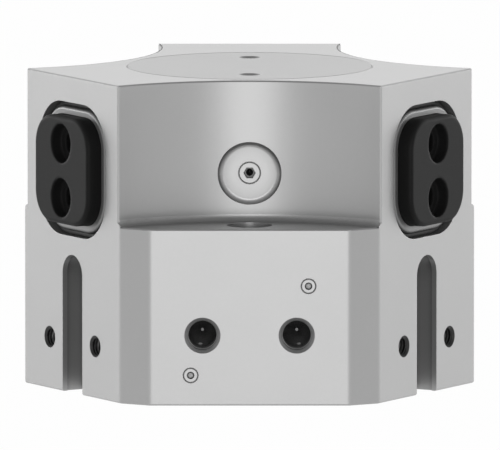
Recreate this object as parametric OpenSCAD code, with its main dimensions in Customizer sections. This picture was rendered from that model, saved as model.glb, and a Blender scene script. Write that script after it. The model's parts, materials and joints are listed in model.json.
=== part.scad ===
// Three jaw centric gripper, driven by a piston and a three-sided wedge.
// Origin on the axis at the underside, +Z up, one jaw towards +Y, air ports towards -Y.

/* [Housing] */
// Overall height
body_h = 45; // [44:0.1:47]
// Height of the twelve-sided lower block
ledge_h = 25; // [24:0.1:25.5]
// Axis to the face of each lobe
lobe_face = 28.94; // [28.5:0.1:30.5]
// Axis to the flats between the lobes
flat_face = 28.65; // [28.3:0.1:29.5]
// Width of the bevels beside the flats
bevel_w = 4.75; // [4.4:0.05:5.4]
// Radius on the upright edges
corner_r = 1.8; // [1:0.1:2.5]
// Chamfer along the upper and lower edges
edge_break = 0.2; // [0.1:0.05:0.4]

/* [Scallops] */
// Radius of the hollow between two lobes
scallop_r = 28.44; // [27.5:0.1:29.5]
// Wall left between the cover's seat and the hollow
scallop_rim = 1.56; // [1.3:0.02:1.8]
// Fillet where the hollow meets the ledge
scallop_foot = 1; // [0.6:0.1:1.1]
// Chamfer where the hollow meets a lobe face
scallop_edge = 0.25; // [0.15:0.05:0.5]

/* [Jaws] */
// Width of the jaw bar
jaw_w = 15.2; // [14.8:0.1:15.6]
// Height of the jaw bar
jaw_h = 15.3; // [14.8:0.1:15.6]
// How far the jaw's centre line lies above the middle of the jaw space
jaw_rise = 0.2; // [0:0.05:0.4]
// Corner radius of the jaw bar
jaw_corner = 4.4; // [4:0.1:4.8]
// Radius round the jaw's front edge
jaw_edge = 0.5; // [0.3:0.05:0.8]
// How far a closed jaw stands out of the lobe
jaw_proud = 1.85; // [1:0.05:2.5]
// Distance between the two threads in a jaw
jaw_pitch = 7.72; // [7.5:0.02:8]
// Core diameter of the jaw threads
jaw_thread = 3.3; // [3.2:0.05:3.4]
// Length of the jaw threads
jaw_thread_l = 8; // [6:0.5:9]
// Diameter of the centring bores
centring_d = 5.6; // [5:0.1:6]
// Depth of the centring bores
centring_l = 1.7; // [1.2:0.1:2]
// Nearest that a jaw comes to the axis
jaw_inner = 6.5; // [6:0.1:7]

/* [Guide sleeves] */
// Running clearance between jaw and sleeve
jaw_clear = 0.06; // [0.04:0.01:0.08]
// Wall of the sleeve
sleeve_wall = 1; // [0.8:0.05:1.1]
// Wall between the cover's seat and the sleeve's inner end
sleeve_back = 0.2; // [0.1:0.05:0.4]
// How far the sleeve's front lies behind the lobe face
sleeve_set = 0.37; // [0.2:0.01:0.6]
// Radius round the sleeve's front edge
sleeve_edge = 0.4; // [0.2:0.05:0.5]
// Width of the seal round the sleeve
seal_w = 0.8; // [0.6:0.05:0.9]
// Depth of the seal's recess
recess_l = 2.5; // [2:0.1:3]
// How far the seal's front lies behind the lobe face
seal_set = 1; // [0.7:0.1:1.3]

/* [Wedge drive] */
// Jaw travel for each unit of piston travel
wedge_ratio = 0.65; // [0.6:0.01:0.68]
// Axis to a wedge face at the driver's foot
wedge_foot = 14.9; // [14.7:0.05:15.1]
// Diameter of the driver
driver_d = 28.8; // [28.4:0.1:29]
// Clearance round the driver
driver_gap = 0.6; // [0.5:0.05:0.7]
// Height of the driver
driver_h = 12; // [11.5:0.1:12.4]
// Width of the T slot's neck
neck_w = 4; // [3.6:0.1:4.4]
// Depth of the neck
neck_l = 1.4; // [1.2:0.1:1.5]
// Width of the T slot's head
head_w = 7; // [6.5:0.1:7.2]
// Depth of the head
head_l = 1.6; // [1.4:0.1:1.7]
// Clearance all round a jaw's hook and its wedge face
hook_clear = 0.06; // [0.04:0.01:0.1]

/* [Cylinder] */
// Bore of the cylinder
bore_d = 32; // [31.5:0.1:32.2]
// Height of the piston
piston_h = 6.8; // [6.6:0.1:7]
// Piston stroke
stroke = 6; // [5.8:0.1:6.1]
// Diameter of the rod
rod_d = 9; // [8.6:0.1:9.4]
// Web between the cylinder and the jaw space
web_t = 2.8; // [2.6:0.1:3]
// Depth of the retaining ring's groove from the underside
ring_lip = 0.7; // [0.5:0.05:0.8]
// Thickness of the retaining ring
ring_t = 0.9; // [0.8:0.05:1]
// Thickness of the end cap's flange
cap_flange = 1.7; // [1.6:0.05:1.75]
// Height of the end cap's boss above the flange
cap_boss = 1.8; // [1.7:0.1:2]

/* [Top cover] */
// Width of the shoulder that carries the cover
cover_seat = 2.4; // [2.3:0.05:2.6]
// Thickness of the cover
cover_t = 2.7; // [2.5:0.1:2.9]
// Axis to the extraction threads in the cover
cover_thread_y = 11.05; // [10:0.05:12]

/* [Mounting holes] */
// Axis to the three mounting holes
mount_r = 23.4; // [23.35:0.05:24]
// Diameter through, the core of a thread from below
mount_core = 3.3; // [3.2:0.05:3.4]
// Diameter of the screw head's seat
mount_head = 6.35; // [6.2:0.05:6.4]
// Depth of the screw head's seat
mount_head_l = 3.4; // [3:0.1:4]
// Diameter of the dowel holes in the underside
dowel_d = 3; // [2.5:0.5:3]
// Depth of the dowel holes
dowel_l = 5; // [4:0.5:6]
// Axis to the dowel holes
dowel_r = 20.6; // [20.4:0.1:21]

/* [Air ports] */
// Each port from the middle
port_x = 6.64; // [6.5:0.02:6.8]
// Height of the ports
port_z = 9.95; // [9.5:0.05:10.4]
// Core diameter of the port threads
port_core = 4.2; // [4.1:0.05:4.3]
// Length of the port threads
port_l = 6; // [5:0.1:6.5]
// Chamfer at the mouth of a port
port_mouth = 0.45; // [0.3:0.05:0.5]
// Diameter of the drilled channels
channel_d = 1.6; // [1.4:0.1:1.7]
// Each drilled channel from the middle
channel_x = 8.3; // [8.2:0.05:8.4]
// Height of the channel below the piston
channel_low = 4.3; // [4.25:0.05:4.4]
// Height of the channel above the piston
channel_high = 16.95; // [16.8:0.05:17]
// Diameter of the upright channels that join the ports to them
link_d = 2.4; // [2.2:0.1:2.6]
// Each upright channel from the middle
link_x = 6.95; // [6.8:0.05:7.1]
// Each upright channel behind the front flat
link_in = 5; // [4.8:0.1:5.2]
// Diameter of the plugs in the front
plug_d = 2; // [1.9:0.05:2.1]
// Diameter of the plugs in the underside
link_plug_d = 3; // [2.8:0.1:3.2]
// Length of the plugs
plug_l = 2.5; // [2:0.1:3]
// Diameter of the flat round the sealing-air screw
spot_d = 9; // [8.8:0.1:9.2]
// Depth of that flat below the scallop
spot_l = 0.5; // [0.3:0.05:0.6]
// Fillet round that flat
spot_foot = 0.8; // [0.6:0.1:1]
// Diameter of the sealing-air screw
air_screw_d = 3; // [2.8:0.1:3.2]
// Length of the sealing-air screw
air_screw_l = 2.8; // [2.5:0.1:3]

/* [Sensor slots] */
// Width of the slot's mouth
mouth_w = 5.65; // [5.4:0.05:5.8]
// Width of the slot behind its lips
slot_w = 6.5; // [6.2:0.1:6.8]
// Depth of the slot
slot_l = 4.7; // [4.5:0.1:5]
// Thickness of the lips
slot_lip = 0.8; // [0.6:0.1:1]
// Wall between the slot's arch and the jaw's recess
slot_roof = 2.2; // [2:0.05:2.6]

/* [Threads beside the slots] */
// Each thread from the slot's middle
side_x = 6.5; // [6:0.1:7]
// Height of the threads
side_z = 7.35; // [7:0.05:8]
// Core diameter of the small threads
small_core = 2.5; // [2.4:0.05:2.6]
// Depth of the small threads
small_l = 6; // [5:0.5:7]

/* [Hidden] */
$fn = 96;

lobe_angles = [90, 210, 330];
flat_angles = [30, 150, 270];
back = lobe_angles[0];
left = lobe_angles[1];
right = lobe_angles[2];
front = flat_angles[2];

// Clearances that pieces share
fit = 0.03;        // between pieces that are pressed or screwed together
run = 0.05;        // between pieces that slide on each other
stop_gap = 0.1;    // left between the piston and its stops
past = 1;          // how far a cut runs past a face
mouth = 0.3;       // chamfer at the mouth of a thread
burr = 0.1;        // chamfer on plugs, set screws and their holes
drill_tip = 0.3;   // length of a drill's tip as a share of its diameter

// Heights, from the underside up
ring_top = ring_lip + ring_t + run;
shoulder_z = ring_top + cap_flange;
cap_top = shoulder_z + cap_boss;
piston_z = cap_top + stop_gap;
piston_top = piston_z + piston_h;
web_z = piston_top + stroke + stop_gap;
cavity_z = web_z + web_t;
driver_foot = 0.7; // left under the driver
driver_z = cavity_z + driver_foot;
driver_top = driver_z + driver_h;
cover_z = body_h - cover_t;
jaw_z = (cavity_z + cover_z) / 2 + jaw_rise;

// Axis to the bevels, which stand at 30 degrees between lobe faces and flats
bevel_face = (lobe_face + flat_face - bevel_w / 2) / (2 * cos(30));

// Radii inside
bore_r = bore_d / 2;
cap_step = 0.5;    // from the cylinder's bore out to the end cap's seat
ring_step = 1;     // from the end cap's seat out to the retaining ring's groove
cap_seat_r = bore_r + cap_step;
ring_groove_r = cap_seat_r + ring_step;
cavity_r = driver_d / 2 + driver_gap;
cover_r = cavity_r + cover_seat;
scallop_web = cover_r + scallop_rim;
sleeve_inner = cover_r + sleeve_back;
rod_r = rod_d / 2;
spigot_h = 1;
oring_d = 0.9;
oring_groove = 1;
oring_land = 0.7;  // from the cover's underside to its groove

// The driver's screw
screw_d = 4;
screw_head_d = 7;
screw_head_h = 4;
screw_l = 20;
screw_af = 3;
screw_socket_l = 2;
screw_gap = 0.15;  // between the screw and the piston's bore
head_gap = 0.2;    // between the screw's head and its counterbore
head_sink = 0.3;   // from the piston's underside up to the screw's head
screw_seat = piston_z + screw_head_h + head_sink;

// Jaws and the holes that they run in
jaw_front = lobe_face + jaw_proud;
sleeve_w = jaw_w + 2 * (jaw_clear + sleeve_wall);
sleeve_h = jaw_h + 2 * (jaw_clear + sleeve_wall);
sleeve_corner = jaw_corner + jaw_clear + sleeve_wall;
passage_gap = 0.3;
wedge_tilt = atan(wedge_ratio);
hook_set = 0.5;    // from the driver's top down to the hooks' tops
hook_top = driver_top - hook_set;

// Piston grooves: the three rings share the height with four equal lands. The seal is the
// lowest and the magnet the highest, so that only the magnet passes the upper air channel
piston_seal_h = 1.8;
guide_ring_h = 1.6;
magnet_h = 1.2;
piston_land = (piston_h - piston_seal_h - guide_ring_h - magnet_h) / 4;
piston_seal_z = piston_z + piston_land;
guide_ring_z = piston_seal_z + piston_seal_h + piston_land;
magnet_z = guide_ring_z + guide_ring_h + piston_land;
piston_groove = 1.4;
piston_gap = 0.15;

rod_seal_h = 1.8;
rod_seal_w = 1.6;
rod_seal_z = web_z + (web_t - rod_seal_h) / 2;

slot_z = jaw_z - sleeve_h / 2 - seal_w - slot_roof - slot_w / 2;
link_y = flat_face - link_in;
spot_y = scallop_web - spot_l;
scallop_centre = scallop_web + scallop_r;
lobe_half = scallop_centre * sin(60)
    - sqrt(pow(scallop_r, 2) - pow(lobe_face - scallop_centre * cos(60), 2));

housing_colour = [0.80, 0.80, 0.81];
cover_colour = [0.76, 0.76, 0.77];
jaw_colour = [0.24, 0.24, 0.25];
sleeve_colour = [0.47, 0.47, 0.48];
rubber_colour = [0.13, 0.13, 0.13];
steel_colour = [0.62, 0.62, 0.64];
cast_colour = [0.36, 0.36, 0.38];

// ---- shared shapes ----

// Axis to the side whose outward normal points at 30 degrees times i
function side_face(i) = i % 2 == 0 ? bevel_face : i % 4 == 3 ? lobe_face : flat_face;

// Centre of the fillet between side i and the next
function fillet_centre(i) =
    let (a = 30 * i, b = a + 30, p = side_face(i) - corner_r, q = side_face(i + 1) - corner_r)
    [p * sin(b) - q * sin(a), q * cos(a) - p * cos(b)] / sin(b - a);

function toward(angle, r) = [r * cos(angle), r * sin(angle)];

module block_outline() {
    polygon([for (i = [0:11]) each [
        fillet_centre(i) + toward(30 * i, corner_r),
        fillet_centre(i) + toward(30 * (i + 1), corner_r)
    ]]);
    for (i = [0:11]) translate(fillet_centre(i)) circle(corner_r);
}

module rounded_rect(x, y, r) {
    square([x, y - 2 * r], center = true);
    square([x - 2 * r, y], center = true);
    for (i = [-1, 1], j = [-1, 1]) translate([i * (x / 2 - r), j * (y / 2 - r)]) circle(r);
}

// Turns a shape that stands on the XY plane outwards, along a lobe's or a flat's normal
module outward(angle, r, z, side = 0) {
    rotate([0, 0, angle]) translate([r, side, z]) rotate([0, 90, 0]) children();
}

// A straight bar of rounded section from r_in to r_out along a lobe's normal
module lobe_bar(angle, w, h, corner, r_in, r_out) {
    outward(angle, r_in, jaw_z) linear_extrude(r_out - r_in) rounded_rect(h, w, corner);
}

// A hole whose mouth is at the origin and opens towards +Z
module blind_hole(d, depth) {
    translate([0, 0, -depth]) cylinder(d = d, h = depth + past);
    translate([0, 0, -depth - d * drill_tip]) cylinder(d1 = d / 10, d2 = d, h = d * drill_tip);
}

// Chamfer round a hole's mouth at the origin
module countersink(d, c) {
    translate([0, 0, -c]) cylinder(d1 = d, d2 = d + 2 * c, h = c);
    cylinder(d = d + 2 * c, h = past);
}

module tapped_hole(core, depth, chamfer = mouth) {
    blind_hole(core, depth);
    countersink(core, chamfer);
}

module tube(r_in, r_out, h) {
    difference() {
        cylinder(r = r_out, h = h);
        translate([0, 0, -past]) cylinder(r = r_in, h = h + 2 * past);
    }
}

// Pin on the XY plane with its upper edge chamfered
module pin(d, l) {
    cylinder(d = d, h = l - burr);
    translate([0, 0, l - burr]) cylinder(d1 = d, d2 = d - 2 * burr, h = burr);
}

// Hexagon socket below the origin, with two flats level
module hex_socket(af, depth) {
    translate([0, 0, -depth]) rotate(30) cylinder(d = af / cos(30), h = depth + past, $fn = 6);
}

module o_ring(r_in, r_out, z, groove_h) {
    translate([0, 0, z + groove_h / 2]) rotate_extrude() translate([(r_in + r_out) / 2, 0])
        circle(d = min(oring_d, r_out - r_in - fit));
}

// Lip seal: a square ring whose upper face is split into two lips
module lip_seal(r_in, r_out, z, h) {
    w = r_out - r_in;
    translate([0, 0, z]) rotate_extrude() translate([r_in, 0])
        polygon([[0.1, 0], [w - 0.1, 0], [w, h], [w * 0.7, h], [w / 2, h * 0.5], [w * 0.3, h], [0, h]]);
}

// Cut that breaks the edge at height z of a side whose normal points at the angle
module edge_cut(angle, face, z) {
    rotate([0, 0, angle]) translate([face, 0, z]) rotate([0, 45, 0])
        cube([edge_break * sqrt(2), 2 * face, edge_break * sqrt(2)], center = true);
}

// ---- housing ----

module scallop_cuts() {
    for (a = flat_angles) rotate([0, 0, a]) translate([scallop_centre, 0, 0]) {
        rotate_extrude() {
            translate([0, ledge_h]) square([scallop_r - scallop_foot, body_h - ledge_h + past]);
            translate([0, ledge_h + scallop_foot])
                square([scallop_r, body_h - ledge_h - scallop_foot + past]);
            translate([scallop_r - scallop_foot, ledge_h + scallop_foot]) circle(scallop_foot);
        }
        translate([0, 0, body_h - edge_break])
            cylinder(r1 = scallop_r, r2 = scallop_r + edge_break, h = edge_break);
    }
}

module lobe_edge_cuts() {
    for (a = lobe_angles, s = [-1, 1])
        rotate([0, 0, a]) translate([lobe_face, s * lobe_half, ledge_h + scallop_foot / 2])
            rotate([0, 0, 45]) translate([0, 0, body_h / 2])
                cube([scallop_edge * sqrt(2), scallop_edge * sqrt(2), body_h], center = true);
}

// The ledge's edge is broken as far as the hollows reach, so the lobes stay whole
module edge_cuts() {
    for (i = [0:11]) edge_cut(30 * i, side_face(i), 0);
    intersection() {
        for (i = [0:11]) if (i % 4 != 3) edge_cut(30 * i, side_face(i), ledge_h);
        for (a = flat_angles) rotate([0, 0, a]) translate([scallop_centre, 0, 0])
            cylinder(r = scallop_r - scallop_foot / 2, h = body_h);
    }
    for (a = lobe_angles) edge_cut(a, lobe_face, body_h);
}

module cylinder_cuts() {
    translate([0, 0, -past]) cylinder(r = cap_seat_r + fit, h = shoulder_z + past);
    translate([0, 0, ring_lip]) cylinder(r = ring_groove_r, h = ring_t + run);
    translate([0, 0, ring_lip]) cylinder(r = bore_r, h = web_z - ring_lip);
    translate([0, 0, web_z - past]) cylinder(r = rod_r + run, h = web_t + 2 * past);
    translate([0, 0, rod_seal_z]) cylinder(r = rod_r + run + rod_seal_w, h = rod_seal_h);
}

module cover_cuts() {
    translate([0, 0, cavity_z]) cylinder(r = cavity_r, h = cover_z - cavity_z + past);
    translate([0, 0, cover_z]) cylinder(r = cover_r + fit, h = cover_t + past);
    translate([0, 0, body_h - mouth / 2])
        cylinder(r1 = cover_r + fit, r2 = cover_r + fit + mouth / 2, h = mouth / 2);
}

module jaw_cuts(angle) {
    gap = 2 * passage_gap;
    lobe_bar(angle, jaw_w + gap, jaw_h + gap, jaw_corner + passage_gap, cavity_r / 2, sleeve_inner);
    lobe_bar(angle, sleeve_w + 2 * fit, sleeve_h + 2 * fit, sleeve_corner + fit,
        sleeve_inner, lobe_face + past);
    lobe_bar(angle, sleeve_w + 2 * seal_w, sleeve_h + 2 * seal_w, sleeve_corner + seal_w,
        lobe_face - recess_l, lobe_face + past);
}

module slot_cuts(angle) {
    outward(angle, lobe_face - slot_l, slot_z) {
        cylinder(d = slot_w, h = slot_l - slot_lip);
        translate([0, -slot_w / 2, 0]) cube([slot_z + past, slot_w, slot_l - slot_lip]);
        cylinder(d = mouth_w, h = slot_l + past);
        translate([0, -mouth_w / 2, 0]) cube([slot_z + past, mouth_w, slot_l + past]);
    }
    for (s = [-1, 1]) outward(angle, lobe_face, side_z, s * side_x) tapped_hole(small_core, small_l);
}

module mounting_cuts() {
    for (a = flat_angles) rotate([0, 0, a]) translate([mount_r, 0, 0]) {
        translate([0, 0, -past]) cylinder(d = mount_core, h = ledge_h + 2 * past);
        translate([0, 0, ledge_h - mount_head_l]) cylinder(d = mount_head, h = mount_head_l + past);
        rotate([180, 0, 0]) cylinder(d = mount_core + 2 * mouth, h = past);
        cylinder(d1 = mount_core + 2 * mouth, d2 = mount_core, h = mouth);
    }
    for (a = [left, right]) rotate([0, 0, a]) translate([dowel_r, 0, 0])
        rotate([180, 0, 0]) blind_hole(dowel_d, dowel_l);
}

// The left port feeds the space below the piston, the right port the space above it
module air_cuts() {
    for (s = [-1, 1]) {
        channel = s < 0 ? channel_low : channel_high;
        outward(front, flat_face, port_z, s * port_x) tapped_hole(port_core, port_l, port_mouth);
        outward(front, bore_r / 2, channel, s * channel_x)
            cylinder(d = channel_d, h = flat_face - bore_r / 2);
        outward(front, flat_face, channel, s * channel_x) plug_hole(plug_d);
        translate([s * link_x, -link_y, 0]) {
            cylinder(d = link_d, h = max(channel, port_z));
            rotate([180, 0, 0]) plug_hole(link_plug_d);
        }
    }
    outward(front, spot_y, jaw_z) {
        spot_face();
        translate([0, 0, -air_screw_l]) cylinder(d = air_screw_d + 2 * fit, h = air_screw_l);
        countersink(air_screw_d + 2 * fit, burr);
        translate([0, 0, cavity_r / 2 - spot_y]) cylinder(d = channel_d, h = spot_y - cavity_r / 2);
    }
}

module plug_hole(d) {
    translate([0, 0, -plug_l]) cylinder(d = d + 2 * fit, h = plug_l);
    countersink(d + 2 * fit, burr);
}

// Flat on the XY plane with a fillet round its foot
module spot_face() {
    r = spot_d / 2;
    rotate_extrude() {
        square([r - spot_foot, spot_foot + past]);
        translate([0, spot_foot]) square([r, past]);
        translate([r - spot_foot, spot_foot]) intersection() {
            circle(spot_foot);
            translate([0, -spot_foot]) square(spot_foot);
        }
    }
}

module housing() {
    color(housing_colour) difference() {
        linear_extrude(body_h) block_outline();
        scallop_cuts();
        lobe_edge_cuts();
        edge_cuts();
        cylinder_cuts();
        cover_cuts();
        for (a = lobe_angles) {
            jaw_cuts(a);
            slot_cuts(a);
        }
        mounting_cuts();
        air_cuts();
    }
}

module top_cover() {
    groove_z = cover_z + oring_land;
    color(cover_colour) difference() {
        union() {
            translate([0, 0, cover_z]) cylinder(r = cover_r, h = cover_t - mouth / 2);
            translate([0, 0, body_h - mouth / 2])
                cylinder(r1 = cover_r, r2 = cover_r - mouth / 2, h = mouth / 2);
        }
        translate([0, 0, groove_z]) tube(cover_r - oring_d, cover_r + past, oring_groove);
        for (s = [-1, 1]) translate([0, s * cover_thread_y, body_h]) tapped_hole(small_core, cover_t + past);
    }
}

module cover_o_ring() {
    color(rubber_colour) o_ring(cover_r - oring_d, cover_r + fit, cover_z + oring_land, oring_groove);
}

// ---- jaws and their guides ----

// The outline of a rounded end: a plain strip of the width, its far corner rounded
module end_profile(w, l, edge) {
    square([w, l - edge]);
    square([w - edge, l]);
    translate([w - edge, l - edge]) circle(edge);
}

// Bar of rounded section, standing on the XY plane, with its upper edge rounded all the way
module rounded_bar(x, y, corner, l, edge) {
    flat_x = x - 2 * corner;
    flat_y = y - 2 * corner;
    translate([-flat_x / 2, -flat_y / 2, 0]) cube([flat_x, flat_y, l]);
    for (i = [0:3]) {
        across = i % 2 == 0 ? flat_x : flat_y;
        along = i % 2 == 0 ? flat_y : flat_x;
        rotate([0, 0, 90 * i]) translate([across / 2, along / 2, 0]) {
            rotate_extrude(angle = 90) end_profile(corner, l, edge);
            rotate([90, 0, 0]) linear_extrude(along) end_profile(corner, l, edge);
        }
    }
}

// Moves a shape onto a wedge face: X leaves the face, Z runs up along it
module on_wedge_face() {
    translate([wedge_foot, 0, driver_z]) rotate([0, -wedge_tilt, 0]) children();
}

// T section on a wedge face, smaller by a gap on every side
module tee(gap, reach) {
    l = 4 * driver_h;
    depth = neck_l + head_l;
    translate([-depth + gap, -head_w / 2 + gap, -l / 2]) cube([head_l - 2 * gap, head_w - 2 * gap, l]);
    translate([-depth + gap, -neck_w / 2 + gap, -l / 2]) cube([depth + reach, neck_w - 2 * gap, l]);
}

module jaw(angle) {
    low = jaw_z - jaw_h / 2;
    wide = 4 * jaw_w;
    color(jaw_colour) difference() {
        union() {
            difference() {
                outward(angle, jaw_inner, jaw_z)
                    rounded_bar(jaw_h, jaw_w, jaw_corner, jaw_front - jaw_inner, jaw_edge);
                rotate([0, 0, angle]) on_wedge_face() translate([hook_clear, 0, 0])
                    translate([-wide, -wide / 2, -wide / 2]) cube(wide);
            }
            rotate([0, 0, angle]) intersection() {
                on_wedge_face() tee(hook_clear, jaw_corner);
                translate([0, -head_w, low + jaw_corner / 2])
                    cube([jaw_front, 2 * head_w, hook_top - low - jaw_corner / 2]);
            }
        }
        for (s = [-1, 1]) outward(angle, jaw_front, jaw_z + s * jaw_pitch / 2) {
            tapped_hole(jaw_thread, jaw_thread_l);
            translate([0, 0, -centring_l]) cylinder(d = centring_d, h = centring_l + past);
        }
    }
}

module guide_sleeve(angle) {
    front_r = lobe_face - sleeve_set;
    color(sleeve_colour) difference() {
        outward(angle, sleeve_inner, jaw_z)
            rounded_bar(sleeve_h, sleeve_w, sleeve_corner, front_r - sleeve_inner, sleeve_edge);
        lobe_bar(angle, jaw_w + 2 * jaw_clear, jaw_h + 2 * jaw_clear, jaw_corner + jaw_clear,
            sleeve_inner - past, front_r + past);
    }
}

module jaw_seal(angle) {
    gap = 2 * fit;
    color(rubber_colour) difference() {
        lobe_bar(angle, sleeve_w + 2 * seal_w - gap, sleeve_h + 2 * seal_w - gap,
            sleeve_corner + seal_w - fit, lobe_face - recess_l, lobe_face - seal_set);
        lobe_bar(angle, sleeve_w + gap, sleeve_h + gap, sleeve_corner + fit,
            lobe_face - recess_l - past, lobe_face);
    }
}

// ---- drive ----

module wedge_driver() {
    color(cast_colour) difference() {
        translate([0, 0, driver_z]) cylinder(d = driver_d, h = driver_h);
        for (a = lobe_angles) rotate([0, 0, a]) on_wedge_face() {
            translate([0, -driver_d, -3 * driver_h]) cube([driver_d, 2 * driver_d, 6 * driver_h]);
            tee(0, past);
        }
        translate([0, 0, driver_z - past]) cylinder(r = rod_r + fit, h = spigot_h + past);
        translate([0, 0, driver_z])
            cylinder(d = screw_d + 2 * fit, h = screw_seat + screw_l + past - driver_z);
    }
}

module driver_screw() {
    color(steel_colour) difference() {
        union() {
            translate([0, 0, screw_seat - screw_head_h]) cylinder(d = screw_head_d, h = screw_head_h);
            translate([0, 0, screw_seat]) cylinder(d = screw_d, h = screw_l);
        }
        translate([0, 0, screw_seat - screw_head_h]) rotate([180, 0, 0]) hex_socket(screw_af, screw_socket_l);
    }
}

module piston() {
    land_r = bore_r - piston_gap;
    groove_r = land_r - piston_groove;
    color(steel_colour) difference() {
        union() {
            translate([0, 0, piston_z]) cylinder(r = land_r, h = piston_h);
            translate([0, 0, piston_top]) cylinder(r = rod_r, h = driver_z + spigot_h - piston_top);
        }
        translate([0, 0, guide_ring_z]) tube(groove_r, bore_r, guide_ring_h);
        translate([0, 0, magnet_z]) tube(groove_r, bore_r, magnet_h);
        translate([0, 0, piston_seal_z]) tube(groove_r, bore_r, piston_seal_h);
        translate([0, 0, piston_z - past])
            cylinder(d = screw_head_d + 2 * head_gap, h = screw_seat - piston_z + past);
        translate([0, 0, piston_z])
            cylinder(d = screw_d + 2 * screw_gap, h = driver_z + spigot_h + past - piston_z);
    }
}

// Groove bottom to ring, and ring to the cylinder's wall
module piston_ring(z, h, gap) {
    in_r = bore_r - piston_gap - piston_groove + fit;
    translate([0, 0, z + fit]) tube(in_r, bore_r - gap, h - 2 * fit);
}

module piston_guide_ring() {
    color([0.75, 0.70, 0.58]) piston_ring(guide_ring_z, guide_ring_h, run);
}

module magnet_ring() {
    color([0.20, 0.18, 0.17]) piston_ring(magnet_z, magnet_h, piston_gap + run);
}

module piston_seal() {
    color(rubber_colour) lip_seal(bore_r - piston_gap - piston_groove + fit, bore_r - run,
        piston_seal_z + fit, piston_seal_h - 2 * fit);
}

module rod_seal() {
    color(rubber_colour) lip_seal(rod_r + run, rod_r + run + rod_seal_w - fit,
        rod_seal_z + fit, rod_seal_h - 2 * fit);
}

// ---- cylinder end ----

module end_cap() {
    groove_z = ring_top + (cap_flange - oring_groove) / 2;
    air_gap = 2;
    color(cast_colour) difference() {
        union() {
            translate([0, 0, ring_top]) cylinder(r = cap_seat_r, h = cap_flange);
            translate([0, 0, shoulder_z]) cylinder(r = bore_r - air_gap, h = cap_boss);
        }
        translate([0, 0, groove_z]) tube(cap_seat_r - oring_d, cap_seat_r + past, oring_groove);
        translate([0, 0, ring_top]) rotate([180, 0, 0]) tapped_hole(small_core, cap_flange);
    }
}

module end_cap_o_ring() {
    color(rubber_colour) o_ring(cap_seat_r - oring_d, cap_seat_r + fit,
        ring_top + (cap_flange - oring_groove) / 2, oring_groove);
}

module retaining_ring() {
    ring_w = 3;
    lug_r = 2;
    lug_hole = 1.6;
    half_gap = 3.5;
    out_r = ring_groove_r - fit;
    in_r = out_r - ring_w;
    color(steel_colour) translate([0, 0, ring_top - ring_t]) difference() {
        union() {
            tube(in_r, out_r, ring_t);
            for (s = [-1, 1]) translate([s * (half_gap + lug_r), in_r - lug_r / 4, 0])
                cylinder(r = lug_r, h = ring_t);
        }
        translate([-half_gap, 0, -past]) cube([2 * half_gap, 2 * out_r, ring_t + 2 * past]);
        for (s = [-1, 1]) translate([s * (half_gap + lug_r), in_r - lug_r / 3, -past])
            cylinder(d = lug_hole, h = ring_t + 2 * past);
    }
}

// ---- small parts in the housing ----

module seal_air_screw() {
    socket_af = 1.5;
    socket_l = 0.9;
    drill_d = 1;
    drill_l = 1.9;
    color(steel_colour) outward(front, spot_y - air_screw_l, jaw_z) difference() {
        pin(air_screw_d, air_screw_l);
        translate([0, 0, air_screw_l]) {
            hex_socket(socket_af, socket_l);
            blind_hole(drill_d, drill_l);
        }
    }
}

// Expanding plug with the dimple of its core pin
module plug(d) {
    dimple = 0.25;
    difference() {
        pin(d, plug_l);
        translate([0, 0, plug_l - dimple]) cylinder(d1 = d / 2 - dimple, d2 = d / 2 + dimple / 4, h = dimple);
        translate([0, 0, plug_l]) cylinder(d = d / 2 + dimple / 4, h = past);
    }
}

module channel_plugs() {
    color(steel_colour) for (s = [-1, 1]) {
        outward(front, flat_face - plug_l, s < 0 ? channel_low : channel_high, s * channel_x) plug(plug_d);
        translate([s * link_x, -link_y, plug_l]) rotate([180, 0, 0]) plug(link_plug_d);
    }
}

housing();
top_cover();
cover_o_ring();
jaw(back);  // jaw_back
jaw(left);  // jaw_left
jaw(right);  // jaw_right
guide_sleeve(back);  // guide_sleeve_back
guide_sleeve(left);  // guide_sleeve_left
guide_sleeve(right);  // guide_sleeve_right
jaw_seal(back);  // jaw_seal_back
jaw_seal(left);  // jaw_seal_left
jaw_seal(right);  // jaw_seal_right
wedge_driver();
driver_screw();
piston();
piston_seal();
piston_guide_ring();
magnet_ring();
rod_seal();
end_cap();
end_cap_o_ring();
retaining_ring();
seal_air_screw();
channel_plugs();
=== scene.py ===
import json
import math
import bpy
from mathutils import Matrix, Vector


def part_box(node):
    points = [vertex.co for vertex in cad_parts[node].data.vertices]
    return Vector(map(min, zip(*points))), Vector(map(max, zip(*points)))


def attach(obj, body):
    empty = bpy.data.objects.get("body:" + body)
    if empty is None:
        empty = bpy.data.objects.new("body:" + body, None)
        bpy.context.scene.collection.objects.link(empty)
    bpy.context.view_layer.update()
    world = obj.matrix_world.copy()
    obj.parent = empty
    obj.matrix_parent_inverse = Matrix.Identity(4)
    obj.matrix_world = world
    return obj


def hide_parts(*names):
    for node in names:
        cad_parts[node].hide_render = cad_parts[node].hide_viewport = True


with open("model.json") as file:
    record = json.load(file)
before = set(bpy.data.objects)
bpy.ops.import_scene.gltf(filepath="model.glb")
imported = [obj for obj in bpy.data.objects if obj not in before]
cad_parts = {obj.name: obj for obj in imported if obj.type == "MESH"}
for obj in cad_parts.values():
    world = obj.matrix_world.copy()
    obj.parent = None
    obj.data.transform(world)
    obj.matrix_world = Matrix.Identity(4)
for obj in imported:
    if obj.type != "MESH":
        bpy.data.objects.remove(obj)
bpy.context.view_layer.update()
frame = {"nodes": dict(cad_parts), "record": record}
nodes = frame["nodes"]
mounts = {mount["name"]: mount for mount in frame["record"]["mounts"]}
print("frame loaded:", len(nodes), "pieces")

mm = 0.001
sides = ("back", "left", "right")


# ---- camera ----

camera = {
    "aim": (0.06 * mm, 0, 22.24 * mm),
    "distance": 2.96,
    "elevation": 6.76,  # degrees above the floor
    "lens": 1500,
    "reach": 20,  # how far it sees, in metres
}


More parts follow.
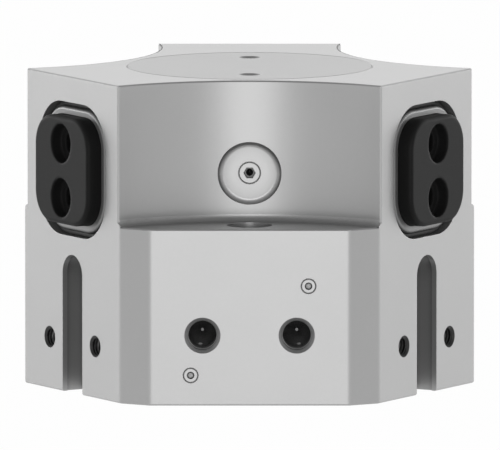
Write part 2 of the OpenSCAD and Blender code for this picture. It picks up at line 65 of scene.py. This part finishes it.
def placeCamera():
    tilt = math.radians(camera["elevation"])
    away = Vector((0, -math.cos(tilt), math.sin(tilt))) * camera["distance"]
    bpy.ops.object.camera_add(location=Vector(camera["aim"]) + away, rotation=(math.pi / 2 - tilt, 0, 0))
    bpy.context.scene.camera = bpy.context.object
    bpy.context.object.data.lens = camera["lens"]
    bpy.context.object.data.clip_end = camera["reach"]


placeCamera()
print("camera placed")


# ---- places ----

upward = Vector((0, 0, 1))
sideways = Vector((1, 0, 0))
along = Vector((0, 1, 0))
lobeAxes = {side: Vector(mounts["jaw_" + side + "_face"]["axis"]) for side in sides}


def pairOf(middle, across, name):
    # two places, half the named mount's spacing each way from their middle
    spacing = [size for key, size in mounts[name]["dims"].items() if key.startswith("spacing")][0] * mm
    return [Vector(middle) + across * (spacing / 2 * sign) for sign in (-1, 1)]


# the back lobe's pair, turned to each lobe
backFoot = mounts["side_threads_back"]["pos_m"]
lobePairs = {
    side: pairOf(axis * backFoot[1] + upward * backFoot[2], axis.cross(upward), "side_threads_back")
    for side, axis in lobeAxes.items()
}
lobeMouths = [mouth for pair in lobePairs.values() for mouth in pair]
portMouths = pairOf(mounts["air_ports"]["pos_m"], sideways, "air_ports")


# ---- shader maths ----

rays = 6  # samples of each Bevel and Ambient Occlusion node
mouthFade = 0.05  # mm each way from the rim of a mouth, over which its mask fades


class Wire:  # a socket whose operators add Math nodes
    def __init__(self, tree, socket=None):
        self.tree = tree
        self.socket = socket

    def add(self, kind, settings=None, sockets=None, output=0):
        node = self.tree.nodes.new("ShaderNode" + kind)
        for name, value in (settings or {}).items():
            setattr(node, name, value)
        for name, value in (sockets or {}).items():
            if isinstance(value, Wire):
                self.tree.links.new(value.socket, node.inputs[name])
            else:
                node.inputs[name].default_value = value
        return Wire(self.tree, node.outputs[output] if len(node.outputs) else None)

    def maths(self, operation, *values):
        return self.add("Math", {"operation": operation}, dict(enumerate(values)))

    def __add__(self, other):
        return self.maths("ADD", self, other)

    def __sub__(self, other):
        return self.maths("SUBTRACT", self, other)

    def __rsub__(self, other):
        return self.maths("SUBTRACT", other, self)

    def __mul__(self, other):
        return self.maths("MULTIPLY", self, other)

    def __pow__(self, other):
        return self.maths("POWER", self, other)

    __radd__ = __add__
    __rmul__ = __mul__

    def fade(self, low, high):  # 0 below low, 1 above high, smooth between
        return self.add("MapRange", {"interpolation_type": "SMOOTHSTEP"},
                        {"Value": self, "From Min": low, "From Max": high})


def blend(wire, share, first, second):
    # The colour sockets of a Mix node are its inputs 6 and 7 and its output 2
    return wire.add("Mix", {"data_type": "RGBA"}, {0: share, 6: first, 7: second}, output=2)


def place(wire):
    return wire.add("TexCoord", output="Object")


def split(wire, vector):
    node = wire.add("SeparateXYZ", sockets={"Vector": vector})
    return [Wire(wire.tree, socket) for socket in node.socket.node.outputs]


def noise(wire, size, detail, stretch=(1, 1, 1)):
    # size is how wide the spots are, in mm
    where = wire.add("Mapping", sockets={"Vector": place(wire), "Scale": stretch})
    return wire.add("TexNoise", sockets={"Vector": where, "Scale": 1 / (size * mm), "Detail": detail})


def grey(level):
    return (level, level, level, 1)


def mottled(wire, tone, colour, low, high):
    # from low to high times the colour, as the tone goes from 0 to 1
    return blend(wire, tone, grey(colour * low), grey(colour * high))


def finish(name, colour, build, **fixed):
    # build(wire, colour) gives what changes over the surface; fixed sets the shader's other sockets
    material = bpy.data.materials.new(name)
    material.use_nodes = True
    tree = material.node_tree
    tree.nodes.clear()
    wire = Wire(tree)
    changing = build(wire, colour)
    shader = wire.add("BsdfPrincipled", sockets={**fixed, **changing})
    wire.add("OutputMaterial", sockets={"Surface": shader})
    return material


def rounded(wire, radius):
    # the normal with its corners rounded in shading by a radius in mm
    return wire.add("Bevel", {"samples": rays}, {"Radius": radius * mm})


def bumped(wire, height, sizes):
    # "relief" is the height of the bumps and "round" the radius of the corners, both in mm
    sockets = {"Height": height, "Distance": sizes["relief"] * mm, "Strength": 1.0}
    return wire.add("Bump", sockets={**sockets, "Normal": rounded(wire, sizes["round"])})


def edgeMask(wire, width):
    # 1 on the corners, 0 on the faces; width in mm
    flat = wire.add("NewGeometry", output="Normal")
    sockets = {0: rounded(wire, width), 1: flat}
    same = wire.add("VectorMath", {"operation": "DOT_PRODUCT"}, sockets, output="Value")
    return (1 - same).fade(0.01, 0.2)


def hollow(wire, reach):
    # 1 deep in a bore, a slot or a corner of the piece itself, 0 on its open faces; reach in mm
    settings = {"samples": rays, "only_local": True}
    return 1 - wire.add("AmbientOcclusion", settings, {"Distance": reach * mm}, output="AO")


def levelness(wire):
    # 0 on upright faces, 1 on level ones
    rise = split(wire, wire.add("NewGeometry", output="Normal"))[2]
    return wire.maths("ABSOLUTE", rise)


def inMouths(wire, mouths, radius):
    # 1 within the radius (in mm) of a thread's mouth, 0 outside; no two mouths touch
    low = (radius - mouthFade) * mm
    high = (radius + mouthFade) * mm
    spot = place(wire)
    share = 0
    for mouth in mouths:
        away = wire.add("VectorMath", {"operation": "DISTANCE"}, {0: spot, 1: mouth}, output="Value")
        share = share + 1 - away.fade(low, high)
    return share


# ---- finishes ----

# Lengths in mm: how wide the spots are, how far a mask reaches, and what bumped() takes
blasted = {
    "grain": 0.12,
    "fleck": 0.5,
    "cloud": 9,
    "edge": 0.1,
    "relief": 0.003,
    "round": 0.06,
    "slot": 6,
    "creaseShade": 2,
    "lobeMouth": 1.55,
    "portMouth": 2.55,
}
turned = {"ring": 0.11, "grain": 0.1, "cloud": 7, "edge": 0.12, "relief": 0.002, "round": 0.1}
blackened = {
    "grain": 0.09, "scratch": 0.25, "cloud": 4, "edge": 0.12, "bore": 3, "relief": 0.004, "round": 0.5,
}
ground = {"line": 0.1, "grain": 0.15, "cloud": 5, "edge": 0.1, "gap": 0.8, "relief": 0.002, "round": 0.06}
rubber = {"grain": 0.1, "dustAndShade": 1.5, "relief": 0.006, "round": 0.05}
cast = {"grain": 0.2, "pit": 0.5, "cloud": 4, "edge": 0.12, "relief": 0.008, "round": 0.08}
moulded = {"grain": 0.12, "fleck": 0.3, "relief": 0.004, "round": 0.05}


def paintedOpeningShade(wire, colour, surface):
    # the housing's openings: painted shade, darker with depth and darkest in creases and in threads'
    # mouths
    far = hollow(wire, blasted["slot"])
    near = hollow(wire, blasted["creaseShade"])
    rise = levelness(wire)
    depthShaded = blend(wire, far.fade(0.3, 1) * (1 - 0.9 * rise), surface, grey(colour * 0.62))
    # most painted shade where a crease slopes, none in a shallow one on a level face
    dustAndShade = 0.4 - 0.4 * rise + 2.1 * rise * (1 - rise)
    creaseShade = near.fade(0.02, 0.25) * dustAndShade + 0.7 * far.fade(0.85, 0.97)
    shadedInCreases = blend(wire, creaseShade, depthShaded, grey(colour * 0.05))
    # painted shade in the mouths of the lobes' small threads, and fainter in the ports' mouths
    shadeColour = grey(colour * 0.08)
    mouthShaded = blend(wire, inMouths(wire, lobeMouths, blasted["lobeMouth"]), shadedInCreases, shadeColour)
    return blend(wire, inMouths(wire, portMouths, blasted["portMouth"]) * 0.4, mouthShaded, shadeColour)


def blastedSurface(wire, colour):
    # blasted and anodised: a very fine grain, faint clouds, brighter where an edge is rubbed, and painted
    # shade in the openings
    grain = noise(wire, blasted["grain"], 3)
    cloud = noise(wire, blasted["cloud"], 3)
    fleck = noise(wire, blasted["fleck"], 2)
    rubbed = edgeMask(wire, blasted["edge"])
    shade = mottled(wire, 0.45 * grain + 0.35 * cloud + 0.2 * fleck, colour, 0.93, 1.07)
    worn = blend(wire, rubbed * 0.3, shade, grey(colour * 1.3))
    return {
        # the openings get painted shade over the worn colour
        "Base Color": paintedOpeningShade(wire, colour, worn),
        "Roughness": 0.3 + 0.08 * grain - 0.08 * rubbed,
        "Normal": bumped(wire, grain, blasted),
    }


def turnedSurface(wire, colour):
    # faced on a lathe: fine rings round the axis
    x, y = split(wire, place(wire))[:2]
    radius = (x * x + y * y) ** 0.5
    turns = radius * (2 * math.pi / (turned["ring"] * mm))
    rings = wire.maths("SINE", turns)
    grain = noise(wire, turned["grain"], 2)
    cloud = noise(wire, turned["cloud"], 3)
    shade = mottled(wire, 0.5 * cloud + 0.5 * grain, colour, 0.94, 1.06)
    return {
        "Base Color": blend(wire, edgeMask(wire, turned["edge"]) * 0.5, shade, grey(colour * 1.3)),
        "Roughness": 0.34 + 0.06 * grain,
        "Normal": bumped(wire, rings * 0.6 + grain * 0.4, turned),
    }


def blackenedSurface(wire, colour):
    # hardened and blackened steel: fine level scratches, faint clouds, paler on edges, and painted light
    # that makes the bores paler
    grain = noise(wire, blackened["grain"], 3)
    scratch = noise(wire, blackened["scratch"], 3, (0.12, 0.12, 1))
    cloud = noise(wire, blackened["cloud"], 3)
    shade = mottled(wire, 0.5 * cloud + 0.5 * grain, colour, 0.8, 1.25)
    worn = blend(wire, edgeMask(wire, blackened["edge"]) * 0.3, shade, grey(colour * 1.6))
    # painted light: deep in the bores the colour is made paler
    boreLight = hollow(wire, blackened["bore"]).fade(0.2, 0.9)
    return {
        "Base Color": blend(wire, boreLight, worn, grey(colour * 2.4)),
        "Roughness": 0.5 + 0.1 * grain - 0.06 * scratch,
        "Normal": bumped(wire, 0.6 * grain + 0.4 * scratch, blackened),
    }


def groundSurface(wire, colour):
    # ground steel: fine upright lines, rubbed edges, painted shade in narrow gaps
    line = noise(wire, ground["line"], 3, (1, 1, 0.06))
    grain = noise(wire, ground["grain"], 2)
    cloud = noise(wire, ground["cloud"], 2)
    shade = mottled(wire, 0.4 * line + 0.3 * grain + 0.3 * cloud, colour, 0.85, 1.15)
    worn = blend(wire, edgeMask(wire, ground["edge"]) * 0.4, shade, grey(colour * 1.4))
    # painted shade: the colour is made darker in narrow gaps, dimples and sockets
    gapShade = hollow(wire, ground["gap"]).fade(0.03, 0.3)
    return {
        "Base Color": blend(wire, gapShade, worn, grey(colour * 0.25)),
        "Roughness": 0.32 + 0.12 * line,
        "Normal": bumped(wire, line, ground),
    }


def rubberSurface(wire, colour):
    # moulded rubber: soft grain, a little dust in patches
    grain = noise(wire, rubber["grain"], 3)
    dustAndShade = noise(wire, rubber["dustAndShade"], 3).fade(0.5, 0.8)
    return {
        "Base Color": blend(wire, dustAndShade * 0.4, grey(colour), grey(colour * 1.8)),
        "Roughness": 0.55 + 0.15 * grain,
        "Normal": bumped(wire, grain, rubber),
    }


def castSurface(wire, colour):
    # sintered or cast metal: a coarse grain with small pits
    grain = noise(wire, cast["grain"], 4)
    pits = noise(wire, cast["pit"], 2).fade(0.62, 0.7)
    cloud = noise(wire, cast["cloud"], 3)
    shade = mottled(wire, 0.5 * cloud + 0.5 * grain, colour, 0.85, 1.15)
    return {
        "Base Color": blend(wire, edgeMask(wire, cast["edge"]) * 0.6, shade, grey(colour * 1.6)),
        "Roughness": 0.42 + 0.14 * grain,
        "Normal": bumped(wire, grain - pits, cast),
    }


def mouldedSurface(wire, colour):
    # filled plastic: bright flecks in a matt body
    grain = noise(wire, moulded["grain"], 3)
    fleck = noise(wire, moulded["fleck"], 2).fade(0.6, 0.7)
    pale = tuple(1.25 * level for level in colour[:3]) + (1,)
    return {
        "Base Color": blend(wire, fleck * 0.5, colour, pale),
        "Roughness": 0.45 + 0.15 * grain,
        "Normal": bumped(wire, grain, moulded),
    }


finishes = {
    "housing": finish("anodisedAluminium", 0.42, blastedSurface, Metallic=0.7),
    "cover": finish("turnedAluminium", 0.37, turnedSurface, Metallic=0.7),
    "jaw": finish("blackenedSteel", 0.011, blackenedSurface, **{"Specular IOR Level": 0.1}),
    "sleeve": finish("groundSteel", 0.25, groundSurface, Metallic=0.4),
    "seal": finish("blackRubber", 0.04, rubberSurface, **{"Specular IOR Level": 0.3}),
    "driver": finish("sinteredSteel", 0.30, castSurface, Metallic=1.0),
    "piston": finish("turnedPiston", 0.48, turnedSurface, Metallic=0.8),
    "guide_ring": finish("filledPlastic", (0.42, 0.33, 0.20, 1), mouldedSurface),
    "magnet": finish("bondedMagnet", (0.035, 0.03, 0.028, 1), mouldedSurface),
    "end_cap": finish("castCap", 0.22, castSurface, Metallic=0.8),
    "fastener": finish("brightSteel", 0.36, groundSurface, Metallic=1.0),
}

wearing = {
    "housing": ["housing"],
    "cover": ["top_cover"],
    "jaw": ["jaw_" + side for side in sides],
    "sleeve": ["guide_sleeve_" + side for side in sides],
    "seal": ["jaw_seal_" + side for side in sides]
        + ["cover_o_ring", "end_cap_o_ring", "piston_seal", "rod_seal"],
    "driver": ["wedge_driver"],
    "piston": ["piston"],
    "guide_ring": ["piston_guide_ring"],
    "magnet": ["magnet_ring"],
    "end_cap": ["end_cap"],
    "fastener": ["driver_screw", "retaining_ring", "seal_air_screw", "channel_plugs"],
}


def dress(piece, slot):
    piece.data.materials.clear()
    piece.data.materials.append(finishes[slot])


for slot, names in wearing.items():
    for name in names:
        dress(nodes[name], slot)
print("finishes laid on", len(nodes), "pieces")


# ---- threads ----

# core diameter, pitch, length and start below the mouth in mm
# height is how far the tip stands in from the core, as a share of the pitch
threads = {
    "jaw": {"core": 3.3, "pitch": 0.7, "length": 5.6, "height": 0.25, "start": 0.6},
    "port": {"core": 4.2, "pitch": 0.8, "length": 4.8, "height": 0.15, "start": 0.9},
    "lobe": {"core": 2.5, "pitch": 0.5, "length": 5, "height": 0.25, "start": 0.2},
    "cover": {"core": 2.5, "pitch": 0.5, "length": 1.5, "height": 0.25, "start": 0.6},
    "mounting": {"core": 3.3, "pitch": 0.7, "length": 11.9, "height": 0.25, "start": 0.7},
    "cap": {"core": 2.5, "pitch": 0.5, "length": 1, "height": 0.25, "start": 0.5},
}
ridgeForm = {
    "crest": 0.4,  # radius of the three-cornered section, as a share of the pitch
    "wide": 1.3,  # how much the section is stretched along the axis
    "steps": 32,  # in one turn
}
smoothBelow = math.radians(40)  # faces that meet at less are shaded as one


def select(*pieces):
    bpy.ops.object.select_all(action="DESELECT")
    for piece in pieces:
        piece.select_set(True)
    bpy.context.view_layer.objects.active = pieces[0]


def threadRidge(name, thread):
    # one right-handed ridge that starts at the origin and climbs along +Z
    pitch = thread["pitch"] * mm
    crest = ridgeForm["crest"] * pitch
    middle = thread["core"] * mm / 2 + crest - thread["height"] * pitch
    bpy.ops.object.select_all(action="DESELECT")
    bpy.ops.mesh.primitive_circle_add(
        vertices=3, radius=crest, location=(middle, 0, 0), rotation=(math.pi / 2, -math.pi / 2, 0))
    ridge = bpy.context.object
    ridge.name = name
    ridge.scale = (ridgeForm["wide"], 1, 1)
    bpy.ops.object.transform_apply()
    screw = ridge.modifiers.new("screw", "SCREW")
    screw.screw_offset = pitch
    screw.iterations = int(thread["length"] / thread["pitch"])
    screw.steps = screw.render_steps = ridgeForm["steps"]
    bpy.ops.object.modifier_apply(modifier=screw.name)
    bpy.ops.object.mode_set(mode="EDIT")
    bpy.ops.mesh.select_all(action="SELECT")
    bpy.ops.mesh.fill_holes(sides=4)
    bpy.ops.mesh.select_all(action="SELECT")
    bpy.ops.mesh.normals_make_consistent(inside=False)
    bpy.ops.object.mode_set(mode="OBJECT")
    bpy.ops.object.shade_smooth_by_angle(angle=smoothBelow)
    return ridge


def cutThreads(name, thread, mouths, inward, body, slot):
    # one ridge for each mouth, joined into one piece that goes with the body
    ridge = threadRidge(name, thread)
    copies = [ridge]
    for mouth in mouths[1:]:
        select(ridge)
        bpy.ops.object.duplicate()
        copies.append(bpy.context.object)
    for copy, mouth in zip(copies, mouths):
        copy.location = mouth + inward * thread["start"] * mm
        copy.rotation_euler = inward.to_track_quat("Z", "Y").to_euler()
    select(*copies)
    bpy.ops.object.transform_apply()
    if len(copies) > 1:
        bpy.ops.object.join()
    dress(ridge, slot)
    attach(ridge, body)


for side, axis in lobeAxes.items():
    jawMouths = pairOf(mounts["jaw_" + side + "_threads"]["pos_m"], upward, "jaw_back_threads")
    cutThreads("jaw_threads_" + side, threads["jaw"], jawMouths, -axis, "jaw_" + side, "jaw")
    cutThreads("lobe_threads_" + side, threads["lobe"], lobePairs[side], -axis, "housing", "housing")

cutThreads("port_threads", threads["port"], portMouths, along, "housing", "housing")
coverMouths = pairOf(mounts["cover_threads"]["pos_m"], along, "cover_threads")
cutThreads("cover_threads", threads["cover"], coverMouths, -upward, "housing", "cover")
mountRadius = mounts["mounting_screws"]["dims"]["pcd_mm"] * mm / 2
mountMouths = [-axis * mountRadius for axis in lobeAxes.values()]
cutThreads("mounting_threads", threads["mounting"], mountMouths, upward, "housing", "housing")
capFoot = Vector((0, 0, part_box("end_cap")[0].z))
cutThreads("cap_thread", threads["cap"], [capFoot], upward, "housing", "end_cap")
print("threads cut")


# ---- jaw seals ----

jawSeal = {
    # lengths in mm
    "corner": 6.26,  # outer corner radius
    "width": 0.74,
    "round": 0.3,  # radius on the lips
    "cornerSteps": 10,
    "lipSteps": 4,
    "lipAngle": 60,  # degrees; edges that turn by more become lips
}


def sealRing(side, axis):
    # the back seal's box gives the size of all three
    low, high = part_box("jaw_seal_back")
    depth = high.y - low.y
    bpy.ops.object.select_all(action="DESELECT")
    bpy.ops.mesh.primitive_plane_add(size=1)
    ring = bpy.context.object
    ring.name = "rubber_ring_" + side
    ring.scale = (high.x - low.x, high.z - low.z, 1)
    bpy.ops.object.transform_apply()
    bpy.ops.object.mode_set(mode="EDIT")
    bpy.ops.mesh.select_all(action="SELECT")
    bpy.ops.mesh.bevel(affect="VERTICES", offset=jawSeal["corner"] * mm, offset_type="OFFSET",
                       segments=jawSeal["cornerSteps"])
    bpy.ops.mesh.select_all(action="SELECT")
    bpy.ops.mesh.inset(thickness=jawSeal["width"] * mm)
    bpy.ops.mesh.delete(type="FACE")
    bpy.ops.mesh.select_all(action="SELECT")
    bpy.ops.mesh.extrude_region_move(TRANSFORM_OT_translate={"value": (0, 0, depth)})
    bpy.ops.mesh.select_all(action="SELECT")
    bpy.ops.mesh.normals_make_consistent(inside=False)
    bpy.ops.object.mode_set(mode="OBJECT")
    lip = ring.modifiers.new("lip", "BEVEL")
    lip.width = jawSeal["round"] * mm
    lip.segments = jawSeal["lipSteps"]
    lip.limit_method = "ANGLE"
    lip.angle_limit = math.radians(jawSeal["lipAngle"])
    bpy.ops.object.modifier_apply(modifier=lip.name)
    bpy.ops.object.shade_smooth_by_angle(angle=smoothBelow)
    # the plane's X stays level and its Y stands up, so it faces along the lobe's axis
    ring.rotation_euler = (math.pi / 2, 0, math.atan2(axis.y, axis.x) + math.pi / 2)
    ring.location = axis * low.y + upward * (low.z + high.z) / 2
    bpy.ops.object.transform_apply()
    dress(ring, "seal")
    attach(ring, "housing")
    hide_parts("jaw_seal_" + side)


for side, axis in lobeAxes.items():
    sealRing(side, axis)
print("seals made")


# ---- studio ----

floor = {
    "size": 12,
    "drop": 0.02 * mm,  # below the part's underside
    "glow": 0.985,  # share of plain white in what the camera and reflections find
    "colour": 0.9,
}
lamps = {
    # where each lamp hangs, in degrees from +X and above the aim, and its sizes in metres
    "front": {"azimuth": 270, "elevation": 1, "distance": 3, "width": 1.7, "height": 0.9, "watts": 28.4},
    "left": {"azimuth": 147, "elevation": 3, "distance": 3, "width": 2.4, "height": 1, "watts": 34},
    "right": {"azimuth": 33, "elevation": 3, "distance": 3, "width": 2.4, "height": 1, "watts": 28},
    "back": {"azimuth": 90, "elevation": 22, "distance": 3, "width": 4, "height": 1.4, "watts": 9},
}
sky = {
    "matt": 0.3,  # what the sky gives to matt surfaces
    "ceiling": 0.4,  # how bright reflections find it overhead
    "low": 0.35,  # sine of the elevation where it starts to darken
    "high": 0.95,
}


def whiteToEye(wire):
    # 1 for what the camera, a reflection or a glass sees, 0 for what only lights
    seen = wire.add("LightPath", output="Is Camera Ray")
    mirrored = wire.add("LightPath", output="Is Glossy Ray")
    through = wire.add("LightPath", output="Is Transmission Ray")
    return wire.maths("MINIMUM", seen + mirrored + through, 1)


def makeSky():
    world = bpy.data.worlds.new("studio")
    bpy.context.scene.world = world
    world.use_nodes = True
    world.node_tree.nodes.clear()
    world.cycles.sampling_method = "NONE"
    wire = Wire(world.node_tree)
    rise = split(wire, wire.add("TexCoord", output="Generated"))[2]
    overhead = rise.fade(sky["low"], sky["high"])
    seen = 1 - overhead * (1 - sky["ceiling"])
    strength = whiteToEye(wire) * (seen - sky["matt"]) + sky["matt"]
    dome = wire.add("Background", sockets={"Color": grey(1), "Strength": strength})
    wire.add("OutputWorld", sockets={"Surface": dome})


def makeFloor():
    bpy.ops.object.select_all(action="DESELECT")
    bpy.ops.mesh.primitive_plane_add(size=floor["size"], location=(0, 0, -floor["drop"]))
    plane = bpy.context.object
    plane.name = "studio_floor"
    bpy.ops.object.transform_apply()
    material = bpy.data.materials.new("studioFloor")
    material.cycles.emission_sampling = "NONE"
    material.use_nodes = True
    material.node_tree.nodes.clear()
    wire = Wire(material.node_tree)
    paint = wire.add("BsdfDiffuse", sockets={"Color": grey(floor["colour"])})
    glow = wire.add("Emission", sockets={"Color": grey(1), "Strength": 1.0})
    mixed = wire.add("MixShader", sockets={0: whiteToEye(wire) * floor["glow"], 1: paint, 2: glow})
    wire.add("OutputMaterial", sockets={"Surface": mixed})
    plane.data.materials.append(material)


def hangLamp(name, lamp):
    around = math.radians(lamp["azimuth"])
    up = math.radians(lamp["elevation"])
    away = Vector((math.cos(around) * math.cos(up), math.sin(around) * math.cos(up), math.sin(up)))
    bpy.ops.object.light_add(type="AREA", location=Vector(camera["aim"]) + away * lamp["distance"],
                             rotation=away.to_track_quat("Z", "Y").to_euler())
    light = bpy.context.object
    light.name = name + "_lamp"
    light.data.shape = "RECTANGLE"
    light.data.size = lamp["width"]
    light.data.size_y = lamp["height"]
    light.data.energy = lamp["watts"]


makeSky()
makeFloor()
for name, lamp in lamps.items():
    hangLamp(name, lamp)
bpy.context.scene.view_settings.view_transform = "Standard"
print("studio lit")
